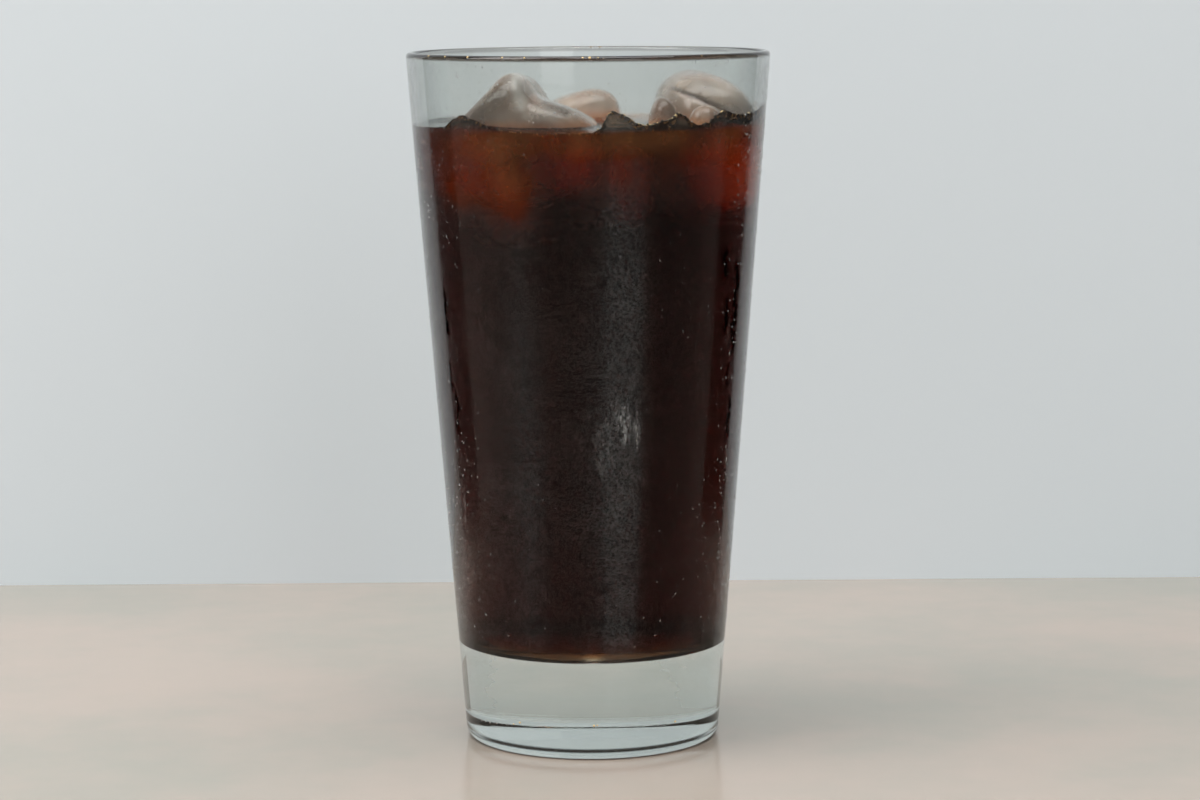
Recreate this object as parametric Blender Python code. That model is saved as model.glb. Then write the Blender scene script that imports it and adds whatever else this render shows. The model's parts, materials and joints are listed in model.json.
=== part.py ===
"""Iced americano in a tall tapered glass: the glass, the coffee and the ice that stands out of it.

Metres, +Z up. The origin is the middle of the foot, on the table. +X is to the right and -Y is the
side that faces the viewer. The glass is one turned solid, the coffee fills it up to its level, and
each lump of ice that stands out of the coffee is a solid of its own in a pocket of the coffee.
"""

import math

import bmesh
import bpy
import numpy as np

# Glass: a straight cone with a heavy foot, a rounded heel and a rounded lip
GLASS_HEIGHT = 0.160
RIM_RADIUS = 0.0420  # outer cone, carried up to the top of the lip
FOOT_RADIUS = 0.0296  # outer cone, carried down to the table
FLOOR_HEIGHT = 0.0222  # inside floor above the table
WALL_AT_RIM = 0.0019
WALL_AT_FLOOR = 0.0024
HEEL_HEIGHT = 0.0030  # the heel is a quarter of an ellipse, higher than it is deep
HEEL_DEPTH = 0.0016
FLOOR_FILLET = 0.0038
RING_INNER_RADIUS = 0.0243  # inner edge of the flat ring that the glass stands on
PUNT_SHOULDER_RADIUS = 0.0215
PUNT_SHOULDER_HEIGHT = 0.0009
PUNT_HEIGHT = 0.0013  # hollow under the middle of the foot
SEGMENTS = 72
ARC_STEPS = 6
SMOOTH_ANGLE = math.radians(40)  # edges sharper than this stay creased

# Coffee
COFFEE_LEVEL = 0.1432
GAP = 0.0003  # between two solids that touch in the real drink
POCKET_GAP = 0.0004  # ice to coffee, a little more because the facets turn
ICE_TO_WALL = 0.0011  # ice that lies against the wall has melted round to follow it
WALL_SOFTNESS = 0.0007  # how gradually the ice turns to follow the wall

# Ice: the outline seen from the front in mm (x, z), swept in depth as a rounded lump
OUTLINE_STEPS = 28
CURVE_STEPS = 12  # between two points of an outline, before it is read at even steps
DEPTH_STEPS = 12
MM = 0.001

ICE = {
    "ice_left": {
        "outline": (
            (-28.8, 143.2), (-26.2, 146.0), (-23.2, 148.9), (-20.5, 152.0), (-17.8, 155.0),
            (-15.2, 156.2), (-12.8, 154.9), (-11.0, 151.9), (-9.8, 149.7), (-7.6, 149.3),
            (-4.2, 148.3), (-0.2, 146.6), (2.4, 143.8), (2.6, 138.5), (0.5, 131.5),
            (-7.0, 127.2), (-18.0, 125.5), (-26.0, 129.5), (-29.3, 137.0),
        ),
        "depth_centre": -19.0, "half_depth": 14.5, "squareness": 3.4, "lean": (1.2, -2.0),
        "turn": -8.0,
    },
    "ice_right": {
        "outline": (
            (16.2, 146.0), (17.0, 150.0), (19.2, 153.2), (22.2, 154.9), (26.0, 155.2),
            (30.0, 154.2), (34.2, 151.9), (37.6, 149.0), (39.4, 146.0), (38.8, 140.0),
            (35.2, 130.0), (28.5, 124.5), (20.5, 124.0), (16.2, 129.0), (15.2, 138.0),
        ),
        "depth_centre": 2.0, "half_depth": 14.5, "squareness": 3.2, "lean": (-1.0, 1.2),
        "turn": 8.0,
    },
    "ice_back": {
        "outline": (
            (-9.4, 146.4), (-6.8, 148.7), (-3.0, 149.7), (1.0, 150.5), (4.4, 149.5),
            (6.4, 146.0), (6.8, 138.0), (5.0, 128.0), (-2.0, 125.5), (-8.0, 127.5),
            (-10.1, 136.0),
        ),
        "depth_centre": 21.0, "half_depth": 11.0, "squareness": 3.0, "lean": (-0.4, -1.6),
        "turn": 14.0,
    },
    "ice_back_left": {
        "outline": (
            (-31.2, 139.0), (-29.0, 143.4), (-25.5, 145.9), (-20.0, 147.0), (-15.5, 145.8),
            (-13.1, 142.0), (-13.3, 133.0), (-16.5, 128.0), (-23.0, 126.5), (-29.0, 130.0),
        ),
        "depth_centre": 11.0, "half_depth": 11.5, "squareness": 3.0, "lean": (1.0, 0.9),
        "turn": -22.0,
    },
    "ice_small_middle": {
        "outline": (
            (13.4, 143.0), (14.0, 147.2), (15.8, 150.2), (18.0, 149.6), (19.4, 146.0),
            (19.3, 140.0), (17.2, 136.8), (14.6, 138.0),
        ),
        "depth_centre": -20.5, "half_depth": 4.2, "squareness": 2.6, "lean": (0.0, 0.6),
        "turn": 12.0,
    },
    "ice_small_right": {
        "outline": (
            (22.3, 142.0), (22.9, 146.0), (24.8, 148.2), (27.8, 148.0), (29.8, 145.8),
            (30.1, 141.0), (27.8, 136.0), (24.4, 135.2),
        ),
        "depth_centre": -20.2, "half_depth": 5.2, "squareness": 2.6, "lean": (0.0, -0.6),
        "turn": -20.0,
    },
}


def clear_scene():
    for thing in list(bpy.data.objects):
        bpy.data.objects.remove(thing, do_unlink=True)


def material(name, colour, roughness, transmission=0.0, ior=1.5):
    made = bpy.data.materials.new(name)
    made.use_nodes = True
    shader = made.node_tree.nodes["Principled BSDF"]
    shader.inputs["Base Color"].default_value = (*colour, 1.0)
    shader.inputs["Roughness"].default_value = roughness
    shader.inputs["Metallic"].default_value = 0.0
    shader.inputs["Transmission Weight"].default_value = transmission
    shader.inputs["IOR"].default_value = ior
    return made


def outer_radius(height):
    return FOOT_RADIUS + (RIM_RADIUS - FOOT_RADIUS) * height / GLASS_HEIGHT


def inner_radius(height):
    share = (height - FLOOR_HEIGHT) / (GLASS_HEIGHT - FLOOR_HEIGHT)
    return outer_radius(height) - WALL_AT_FLOOR - (WALL_AT_RIM - WALL_AT_FLOOR) * share


def wall_angle(radius_at):
    """How far a wall leans out from upright, in radians."""
    run = radius_at(GLASS_HEIGHT) - radius_at(FLOOR_HEIGHT)
    return math.atan2(run, GLASS_HEIGHT - FLOOR_HEIGHT)


def arc(centre, radius, start, end, steps=ARC_STEPS):
    """Points (r, z) of an arc in the turned profile, with both ends."""
    turns = np.linspace(start, end, steps + 1)
    return [(centre[0] + radius * math.cos(a), centre[1] + radius * math.sin(a)) for a in turns]


def floor_corner(shrink=0.0):
    """The rounded corner between the inside floor and the wall, from the floor up to the wall."""
    lean = wall_angle(inner_radius)
    height = FLOOR_HEIGHT + FLOOR_FILLET
    centre = (inner_radius(height) - FLOOR_FILLET / math.cos(lean), height)
    return arc(centre, FLOOR_FILLET - shrink, -math.pi / 2, -lean)


def heel_curve():
    """The rounded outer edge of the foot, from the table up to the cone."""
    middle = outer_radius(HEEL_HEIGHT) - HEEL_DEPTH
    return [
        (middle + HEEL_DEPTH * math.sin(a), HEEL_HEIGHT - HEEL_HEIGHT * math.cos(a))
        for a in np.linspace(0.0, math.pi / 2, ARC_STEPS + 1)
    ]


def glass_profile():
    """From the middle of the underside out, up, over the lip and back in to the middle."""
    outer_lean = wall_angle(outer_radius)
    inner_lean = wall_angle(inner_radius)
    underside = [
        (0.0, PUNT_HEIGHT),
        (PUNT_SHOULDER_RADIUS, PUNT_SHOULDER_HEIGHT),
        (RING_INNER_RADIUS, 0.0),
    ]
    heel = heel_curve()
    lip_radius = WALL_AT_RIM / 2
    lip_height = GLASS_HEIGHT - lip_radius
    lip_centre = ((outer_radius(lip_height) + inner_radius(lip_height)) / 2, lip_height)
    lip = arc(lip_centre, lip_radius, -outer_lean, math.pi - inner_lean)
    inside = list(reversed(floor_corner()))
    return underside + heel + lip + inside + [(0.0, FLOOR_HEIGHT)]


def coffee_profile():
    wall_gap = GAP / math.cos(wall_angle(inner_radius))
    top = (inner_radius(COFFEE_LEVEL) - wall_gap, COFFEE_LEVEL)
    bottom = [(0.0, FLOOR_HEIGHT + GAP)]
    return bottom + floor_corner(shrink=GAP) + [top, (0.0, COFFEE_LEVEL)]


def add_object(name, mesh_data, look):
    bmesh.ops.recalc_face_normals(mesh_data, faces=mesh_data.faces)
    mesh = bpy.data.meshes.new(name)
    mesh_data.to_mesh(mesh)
    mesh_data.free()
    mesh.shade_smooth()
    mesh.set_sharp_from_angle(angle=SMOOTH_ANGLE)
    mesh.materials.append(look)
    thing = bpy.data.objects.new(name, mesh)
    bpy.context.scene.collection.objects.link(thing)
    return thing


def join_rings(mesh_data, rings):
    """Faces between rings of vertices, where a ring of one vertex is a pole."""
    for lower, upper in zip(rings, rings[1:]):
        count = max(len(lower), len(upper))
        for i in range(count):
            j = (i + 1) % count
            if len(lower) == 1:
                corners = (lower[0], upper[j], upper[i])
            elif len(upper) == 1:
                corners = (lower[i], lower[j], upper[0])
            else:
                corners = (lower[i], lower[j], upper[j], upper[i])
            mesh_data.faces.new(corners)


def turned(name, profile, look):
    """A solid turned about Z. The profile starts and ends on the axis."""
    mesh_data = bmesh.new()
    rings = []
    for radius, height in profile:
        turns = [0.0] if radius == 0.0 else np.arange(SEGMENTS) * 2 * math.pi / SEGMENTS
        rings.append([
            mesh_data.verts.new((radius * math.cos(a), radius * math.sin(a), height))
            for a in turns
        ])
    join_rings(mesh_data, rings)
    return add_object(name, mesh_data, look)


def smooth_outline(points, steps=OUTLINE_STEPS):
    """A closed curve through the points, read at even steps along its length."""
    anchors = np.array(points)
    fine = []
    for i in range(len(anchors)):
        before, start, end, after = (anchors[(i + k) % len(anchors)] for k in (-1, 0, 1, 2))
        for t in np.linspace(0.0, 1.0, CURVE_STEPS, endpoint=False):
            fine.append(
                0.5 * (2 * start + (end - before) * t
                       + (2 * before - 5 * start + 4 * end - after) * t ** 2
                       + (3 * start - before - 3 * end + after) * t ** 3)
            )
    fine = np.array(fine)
    hops = np.linalg.norm(np.roll(fine, -1, axis=0) - fine, axis=1)
    along = np.concatenate(([0.0], np.cumsum(hops)))
    closed = np.vstack((fine, fine[:1]))
    even = np.linspace(0.0, along[-1], steps, endpoint=False)
    return np.column_stack([np.interp(even, along, closed[:, k]) for k in (0, 1)])


def outset(outline, distance):
    """The closed outline moved out by a distance, at right angles to itself."""
    along = np.roll(outline, -1, axis=0) - np.roll(outline, 1, axis=0)
    across = np.column_stack((along[:, 1], -along[:, 0]))
    across /= np.linalg.norm(across, axis=1)[:, None]
    area = np.cross(outline, np.roll(outline, -1, axis=0)).sum()
    return outline + across * math.copysign(distance, area)


def inside_wall(x, y, z, clearance):
    """The point, moved smoothly in where it would be too near the wall of the glass."""
    distance = math.hypot(x, y)
    spare = inner_radius(z) - clearance - distance
    held = distance - WALL_SOFTNESS * math.log1p(math.exp(-spare / WALL_SOFTNESS))
    return (x * held / distance, y * held / distance, z)


def turned_about(x, y, centre, degrees):
    """The point (x, y) turned about a centre, seen from above."""
    turn = math.radians(degrees)
    across, away = x - centre[0], y - centre[1]
    return (
        centre[0] + across * math.cos(turn) - away * math.sin(turn),
        centre[1] + across * math.sin(turn) + away * math.cos(turn),
    )


def ice_mesh(shape, grow=0.0):
    """A lump whose slices shrink towards its front and back as a rounded block does."""
    outline = smooth_outline(shape["outline"])
    middle = outline.mean(axis=0)
    outline = outset(outline, grow / MM)
    half_depth = shape["half_depth"] + grow / MM
    power = shape["squareness"]
    mesh_data = bmesh.new()
    rings = []
    for step in range(DEPTH_STEPS + 1):
        depth = -math.cos(math.pi * step / DEPTH_STEPS)
        share = max(0.0, 1 - abs(depth) ** power) ** (1 / power)
        shift = np.array(shape["lean"]) * depth
        slice_points = [middle] if step in (0, DEPTH_STEPS) else middle + (outline - middle) * share
        ring = []
        for across, z in np.array(slice_points) + shift:
            away = shape["depth_centre"] + half_depth * depth
            x, y = turned_about(across, away, (middle[0], shape["depth_centre"]), shape["turn"])
            place = inside_wall(x * MM, y * MM, z * MM, ICE_TO_WALL - grow)
            ring.append(mesh_data.verts.new(place))
        rings.append(ring)
    join_rings(mesh_data, rings)
    bmesh.ops.triangulate(mesh_data, faces=mesh_data.faces, quad_method="FIXED")
    return mesh_data


def add_ice(look):
    return [add_object(name, ice_mesh(shape), look) for name, shape in ICE.items()]


def add_pockets(look):
    """Guides for the pockets that the ice leaves in the coffee."""
    pockets = bpy.data.collections.new("pockets")
    bpy.context.scene.collection.children.link(pockets)
    for name, shape in ICE.items():
        pocket = add_object(name + "_pocket", ice_mesh(shape, grow=POCKET_GAP), look)
        bpy.context.scene.collection.objects.unlink(pocket)
        pockets.objects.link(pocket)
        pocket.hide_render = True
        pocket.display_type = "WIRE"
    return pockets


def add_coffee(look, pockets):
    coffee = turned("coffee", coffee_profile(), look)
    cut = coffee.modifiers.new("ice_pockets", "BOOLEAN")
    cut.operation = "DIFFERENCE"
    cut.operand_type = "COLLECTION"
    cut.collection = pockets
    cut.solver = "EXACT"
    return coffee


def main():
    clear_scene()
    clear_glass = material("clear_glass", (0.93, 0.96, 0.94), 0.05, transmission=1.0, ior=1.5)
    black_coffee = material("black_coffee", (0.045, 0.014, 0.006), 0.05, ior=1.33)
    ice = material("ice", (0.86, 0.86, 0.84), 0.12, transmission=0.7, ior=1.31)
    turned("glass", glass_profile(), clear_glass)
    add_ice(ice)
    add_coffee(black_coffee, add_pockets(ice))


main()
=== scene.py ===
"""Looks of the iced americano: misted tumbler, dark coffee and melting ice on a pale table.

Everything is in metres in the frame's axes: +Z up, +X to the right, -Y towards the viewer.
"""

import json
import math

import bmesh
import bpy
import numpy as np
from mathutils import Matrix, Vector, noise
from mathutils.bvhtree import BVHTree

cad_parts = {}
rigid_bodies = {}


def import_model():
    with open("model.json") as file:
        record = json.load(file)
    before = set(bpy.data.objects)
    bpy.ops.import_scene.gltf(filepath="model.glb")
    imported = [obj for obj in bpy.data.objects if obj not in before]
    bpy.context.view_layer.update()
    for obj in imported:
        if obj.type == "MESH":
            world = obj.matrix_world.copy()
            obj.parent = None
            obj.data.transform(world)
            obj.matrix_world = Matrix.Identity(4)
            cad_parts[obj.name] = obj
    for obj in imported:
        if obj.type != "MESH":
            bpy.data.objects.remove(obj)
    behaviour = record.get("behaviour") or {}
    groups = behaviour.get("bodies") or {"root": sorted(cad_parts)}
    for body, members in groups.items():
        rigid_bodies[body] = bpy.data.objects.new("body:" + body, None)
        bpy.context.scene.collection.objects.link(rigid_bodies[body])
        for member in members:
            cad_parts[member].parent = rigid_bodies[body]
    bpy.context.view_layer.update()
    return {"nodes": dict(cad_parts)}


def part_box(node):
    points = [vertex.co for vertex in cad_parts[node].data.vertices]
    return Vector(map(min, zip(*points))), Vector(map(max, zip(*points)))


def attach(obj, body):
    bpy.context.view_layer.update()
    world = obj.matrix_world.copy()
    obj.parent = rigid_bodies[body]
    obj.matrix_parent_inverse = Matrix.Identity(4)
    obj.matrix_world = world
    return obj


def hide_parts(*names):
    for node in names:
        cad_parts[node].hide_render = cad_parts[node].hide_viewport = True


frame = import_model()

MM = 0.001

# Camera, fitted to the outline, the rim and the foot of the glass
CAMERA_DISTANCE = 0.757
CAMERA_HEIGHT = 0.1812
CAMERA_PITCH = math.radians(7.70)
CAMERA_YAW = math.radians(0.17)
CAMERA_ROLL = math.radians(-0.37)
FOCAL_LENGTH_PX = 3270.0
IMAGE_WIDTH_PX = 1200.0
SENSOR_WIDTH = 36.0

# Glass, as the frame has it
GLASS_HEIGHT = 0.160
RIM_RADIUS = 0.0420
FOOT_RADIUS = 0.0296
FLOOR_HEIGHT = 0.0222
WALL_AT_RIM = 0.0019
WALL_AT_FLOOR = 0.0024
HEEL_HEIGHT = 0.0030
HEEL_DEPTH = 0.0016
FLOOR_FILLET = 0.0038
RING_INNER_RADIUS = 0.0243
PUNT_SHOULDER_RADIUS = 0.0215
PUNT_SHOULDER_HEIGHT = 0.0009
PUNT_HEIGHT = 0.0013
SEGMENTS = 384
LIP_PAINTED_SHADE_DEPTH = 0.0012  # painted shade on the rounded lip, for the dark of the drink under it that it gathers

# Coffee
COFFEE_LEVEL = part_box("coffee")[1][2]
INTO_WALL = 0.00012  # the coffee reaches this far into the glass, so that no air shows
WALL_MENISCUS = (0.0003, 0.0016)  # rise at the wall and how far in it fades
FILM_FADE = 0.0011  # how far in the film thins out
ICE_MENISCUS = (0.0009, 0.0013)
POCKET_MARGIN = 0.00005
GLINT_TURN = 0.5  # degrees: where the painted shade in the floor's corner is left out, so light gets through the thin edge of the drink
GLINT_WIDTH = 3.5
SURFACE_FINE = (0.0001, 0.006, 22)  # rings near the wall: first and last depth, how many
SURFACE_COARSE = (0.007, 50)  # rings further in: first depth, how many
POCKET_NEAR = 0.4  # a face nearer to a cutter than this share of the margin is a pocket's
WALL_NEAR = 0.0002  # a face this near to the glass touches it
# Painted shade in the drink's corner at the floor: heights over the floor and depths from the wall
# where it fades
CORNER_HEIGHTS = (0.0015, 0.005)
CORNER_DEPTHS = (0.007, 0.003)
# The brown film: heights over the level where it comes in, and its depth from the wall
FILM_HEIGHTS = (0.0005, 0.0012)
FILM_DEPTH = 0.003

# Coffee drawn up between the wall and the ice: degrees round from the front, rise in mm
WALL_FILM = (
    (-180.0, 0.3), (-120.0, 0.5), (-68.0, 0.1), (-54.0, 0.4), (-49.5, 1.8), (-46.0, 2.9),
    (-44.0, 2.9), (-41.0, 2.3), (-38.0, 1.6), (-34.5, 0.9), (-30.5, 0.35), (-24.0, -0.1),
    (-17.0, -0.35), (-6.0, -0.4), (1.0, -0.3), (3.5, 0.5), (5.4, 2.5), (6.9, 4.2), (9.0, 4.3),
    (11.2, 3.6), (13.4, 2.5), (15.7, 1.6), (18.7, 1.0), (21.9, 1.5), (25.5, 2.0), (28.3, 2.7),
    (30.3, 3.6), (32.9, 3.0), (35.1, 1.4), (38.1, 0.9), (42.7, 1.2), (44.5, 2.4), (46.9, 3.1),
    (49.6, 3.8), (53.3, 3.0), (58.0, 2.6), (64.8, 2.7), (69.9, 3.1), (77.9, 4.1), (88.0, 4.5),
    (98.0, 1.6), (130.0, 0.3), (180.0, 0.3),
)

# Condensation and painted reflection: degrees round from the front (right is positive), share of
# white added
VEIL_AND_REFLECTION_BANDS = (
    (-180.0, 0.012), (-110.0, 0.030), (-88.0, 0.055), (-72.0, 0.027), (-60.0, 0.010),
    (-46.0, 0.009), (-33.0, 0.013), (-24.0, 0.021), (-14.0, 0.009), (-4.0, 0.011), (3.0, 0.018),
    (7.0, 0.034), (12.0, 0.038), (17.0, 0.029), (19.5, 0.013), (24.0, 0.003), (34.0, 0.000),
    (44.0, 0.002), (52.0, 0.002), (62.0, 0.003), (68.0, 0.012), (76.0, 0.026), (90.0, 0.055),
    (110.0, 0.030), (180.0, 0.012),
)
VEIL_BY_HEIGHT = (
    (0.000, 0.0), (0.022, 0.0), (0.027, 0.8), (0.060, 1.2), (0.100, 1.0), (0.120, 0.75),
    (0.141, 0.45), (0.146, 0.9), (0.155, 0.8), (0.158, 0.0),
)
# Mist: heights over the glass's floor where it comes in, how far over the drink and by what
# share it thins, how far under the rim it ends, and what is left of it in a wiped track
MIST_COMES_IN = (-0.002, 0.005)
MIST_THINS = 0.003
MIST_THINNER = 0.45
MIST_ENDS = (0.0035, 0.0015)
MIST_IN_TRACKS = 0.15

# Painted shade: how much darker the glass above the drink is made to either side: degrees, share
SIDE_SHADE = (
    (0.0, 0.10), (12.0, 0.05), (50.0, 0.04), (60.0, 0.36), (68.0, 0.60), (75.0, 0.66),
    (90.0, 0.72), (180.0, 0.15),
)
# Painted shade: a dark line in the heel, for the drink reflected in it: heights where it comes in
# and goes out
HEEL_PAINTED_SHADE = (0.0015, 0.0018, 0.0025, 0.0028)
HEEL_PAINTED_SHADE_FACING = (0.10, 0.45)  # it shows on the side that faces the viewer
LIP_FACING = (-0.3, 0.5)  # from the back of the lip to its front, where the painted shade is darkest
LIP_BACK = 0.35
DRINK_FADE = 0.004  # over the floor, where the look of the drink comes in
FOOT_FADE = 0.001
FLOOR_SLACK = 1e-5

# How much coffee stains each lump, under the surface and above it
ICE_STAINS = {
    "ice_left": (0.25, 0.60),
    "ice_right": (0.85, 0.45),
    "ice_back": (0.1, 0.25),
    "ice_back_left": (0.1, 0.3),
    "ice_small_middle": (0.3, 1.0),
    "ice_small_right": (0.7, 1.6),
}
# Painted highlights, dark cracks and painted shade in the ice: from, to (x, z in mm), half width mm,
# strength
PAINTED_HIGHLIGHT_MARKS = {
    "ice_left": (
        ((-15.6, 155.0), (-14.6, 149.0), 1.5, 1.0), ((-14.0, 147.5), (-8.0, 146.5), 1.6, 0.35),
    ),
    "ice_right": (
        ((21.0, 150.6), (27.5, 147.4), 0.7, 0.7), ((25.0, 153.0), (33.0, 150.5), 2.0, 0.25),
    ),
}
# Dark cracks, and painted shade on the lumps' dark edges
DARK_CRACK_AND_SHADE_MARKS = {
    "ice_left": (
        ((-21.0, 151.0), (-17.5, 154.5), 1.4, 0.35), ((-9.5, 149.3), (-4.5, 147.2), 0.8, 0.6),
    ),
    "ice_right": (
        ((19.3, 151.4), (24.5, 149.6), 0.55, 1.0), ((24.5, 149.6), (29.5, 147.2), 0.60, 1.0),
        ((29.5, 147.2), (31.5, 146.6), 0.5, 0.8), ((19.0, 149.5), (20.5, 146.0), 1.5, 0.6),
    ),
}
GROOVE_DEPTH = 0.0006
# Heights over the level between which the stain fades, and where the wet edge ends
STAIN_HEIGHTS = (-0.002, 0.004)
WET_EDGE_HEIGHTS = (0.0008, 0.0034)
WET_EDGE_SHARE = 0.8
ICE_NODES = tuple(ICE_STAINS)

# Larger drops: degrees, height, half width and half height in mm
BIG_BEADS = (
    (16.9, 80.5, 0.30, 0.55), (17.2, 78.6, 0.26, 0.40), (16.6, 77.2, 0.34, 0.60),
    (17.3, 75.4, 0.28, 0.45), (16.9, 73.8, 0.36, 0.55), (17.1, 72.5, 0.24, 0.30),
    (0.8, 74.4, 0.30, 0.35), (3.0, 73.3, 0.28, 0.40), (4.5, 73.5, 0.26, 0.30),
    (13.8, 66.7, 0.30, 0.26), (11.0, 66.9, 0.24, 0.22), (-30.7, 109.9, 0.22, 0.26),
    (26.7, 28.8, 0.55, 0.20), (28.8, 32.2, 0.16, 0.50), (12.0, 82.0, 0.50, 0.40),
    (11.0, 79.5, 0.30, 1.10), (13.6, 78.5, 0.28, 1.30), (12.4, 75.0, 0.34, 1.00),
    (-64.5, 128.0, 0.30, 0.36), (-58.5, 6.3, 0.22, 0.30), (-55.0, 6.4, 0.26, 0.26),
    (-51.9, 6.5, 0.30, 0.30), (-47.0, 6.8, 0.34, 0.30), (-44.0, 6.9, 0.22, 0.22),
    (-41.0, 7.0, 0.26, 0.26), (-62.0, 8.2, 0.20, 0.34), (-64.0, 10.0, 0.22, 0.30),
)
# Drops on the lip, painted gold as glints of a warm light: degrees, radius in mm
LIP_GLINT_DROPS = (
    (-59.0, 0.30), (-49.8, 0.28), (-39.7, 0.33), (-26.9, 0.30), (-19.5, 0.28), (0.5, 0.36),
    (-1.6, 0.28), (3.0, 0.24), (37.0, 0.22), (176.0, 0.36), (179.0, 0.33), (-150.0, 0.22),
    (152.0, 0.28), (160.0, 0.22),
)
# Drops low on the foot, painted gold as glints of a warm light: degrees, height and radius in mm
FOOT_GLINT_DROPS = (
    (-33.4, 7.9, 0.26), (-36.8, 7.3, 0.20), (0.6, 8.2, 0.28), (2.0, 8.3, 0.20), (38.8, 7.5, 0.26),
)
# Bubbles along the waterline: from and to in degrees, how many, smallest and largest radius in mm
BUBBLE_ROWS = (
    (3.0, 14.0, 90, 0.14, 0.32), (11.0, 30.0, 230, 0.16, 0.42), (28.0, 36.0, 50, 0.14, 0.32),
    (40.0, 72.0, 160, 0.14, 0.36), (72.0, 90.0, 70, 0.14, 0.34), (-54.0, -36.0, 90, 0.10, 0.24),
    (-36.0, 3.0, 150, 0.08, 0.17),
)
BUBBLE_DROP = 0.8  # mean depth under the line, as a share of the largest radius
BUBBLE_GAP = 0.00002

# Painted light on the glass, for the light that the melting ice lets through the drink under the
# surface: degrees, height in mm, half sizes in degrees and mm, strength
AMBER_GLOW = (
    (-38.0, 139.5, 14.0, 4.5, 0.80), (-22.0, 141.0, 12.0, 3.5, 0.85), (0.0, 141.0, 12.0, 3.0, 1.15),
    (16.0, 141.0, 9.0, 3.0, 1.00), (28.0, 142.0, 8.0, 3.0, 1.15), (48.0, 141.5, 12.0, 4.5, 0.80),
    (74.0, 143.0, 12.0, 5.0, 0.50), (-62.0, 141.0, 10.0, 2.5, 0.20), (-25.0, 133.0, 10.0, 4.0, 0.60),
)
RED_GLOW = (
    (-44.0, 130.0, 11.0, 4.5, 1.15), (-27.0, 128.5, 9.0, 5.5, 1.20), (-52.0, 136.0, 8.0, 4.5, 0.25),
    (4.0, 135.0, 13.0, 5.0, 0.42), (20.0, 134.0, 12.0, 5.0, 0.38), (38.0, 138.0, 14.0, 4.5, 0.62),
    (58.0, 134.5, 14.0, 6.0, 0.42), (30.0, 129.0, 10.0, 3.0, 0.15), (64.0, 128.5, 14.0, 2.5, 0.30),
    (-8.0, 139.0, 10.0, 3.0, 0.15),
)
GLOW_TOP = (0.1428, 0.1440)  # heights between which the light ends at the level
GLOW_SHARE = 0.062  # white added where the painted light is strongest

# Tracks that drips have wiped in the mist: degrees from the front, top and bottom height in mm,
# half width in mm, and how far they wander sideways
WIPED_TRACKS = (
    (-61.0, 107.0, 96.5, 1.2, 0.5), (-61.5, 91.0, 84.0, 1.2, 0.4), (-58.0, 84.0, 74.0, 0.9, 0.6),
    (61.5, 113.0, 92.0, 1.5, 0.5), (53.0, 117.0, 109.0, 1.5, 0.3), (55.5, 105.0, 97.0, 1.1, 0.3),
    (62.5, 82.0, 72.0, 1.1, 0.4), (59.0, 90.0, 84.0, 0.7, 0.3),
)
# Wet patches of fine drops with a painted highlight: degrees, height in mm, half sizes in mm, white
# added
WET_HIGHLIGHT_PATCHES = (
    (12.4, 77.8, 1.7, 5.2, 0.085), (5.0, 73.0, 2.6, 7.5, 0.028), (17.0, 76.5, 1.0, 4.5, 0.035),
    (-58.5, 57.0, 0.8, 7.0, 0.060), (-60.0, 42.0, 3.5, 8.0, 0.030), (62.0, 66.5, 1.1, 3.0, 0.05),
    (9.5, 80.0, 0.9, 4.0, 0.050), (57.5, 97.0, 0.6, 5.0, 0.030),
)

# Lumps wholly under the surface: name, middle and half sizes in mm, degrees turned
SUNK_ICE = (
    ("ice_sunk_middle", (3.5, 0.5, 130.5), (9.0, 8.0, 10.5), 12.0),
    ("ice_sunk_back_right", (18.5, 25.0, 130.0), (9.0, 7.5, 10.0), -32.0),
    ("ice_sunk_front", (8.2, -20.0, 131.5), (4.4, 11.0, 9.5), 0.0),
    ("ice_sunk_left", (-13.0, -1.5, 121.5), (8.0, 7.5, 5.0), 20.0),
)


def outer_radius(height):
    return FOOT_RADIUS + (RIM_RADIUS - FOOT_RADIUS) * height / GLASS_HEIGHT


def inner_radius(height):
    share = (height - FLOOR_HEIGHT) / (GLASS_HEIGHT - FLOOR_HEIGHT)
    return outer_radius(height) - WALL_AT_FLOOR - (WALL_AT_RIM - WALL_AT_FLOOR) * share


def wall_angle(radius_at):
    run = radius_at(GLASS_HEIGHT) - radius_at(FLOOR_HEIGHT)
    return math.atan2(run, GLASS_HEIGHT - FLOOR_HEIGHT)


def smoothstep(low, high, value):
    t = np.clip((value - low) / (high - low), 0.0, 1.0)
    return t * t * (3 - 2 * t)


# Node helpers


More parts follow.
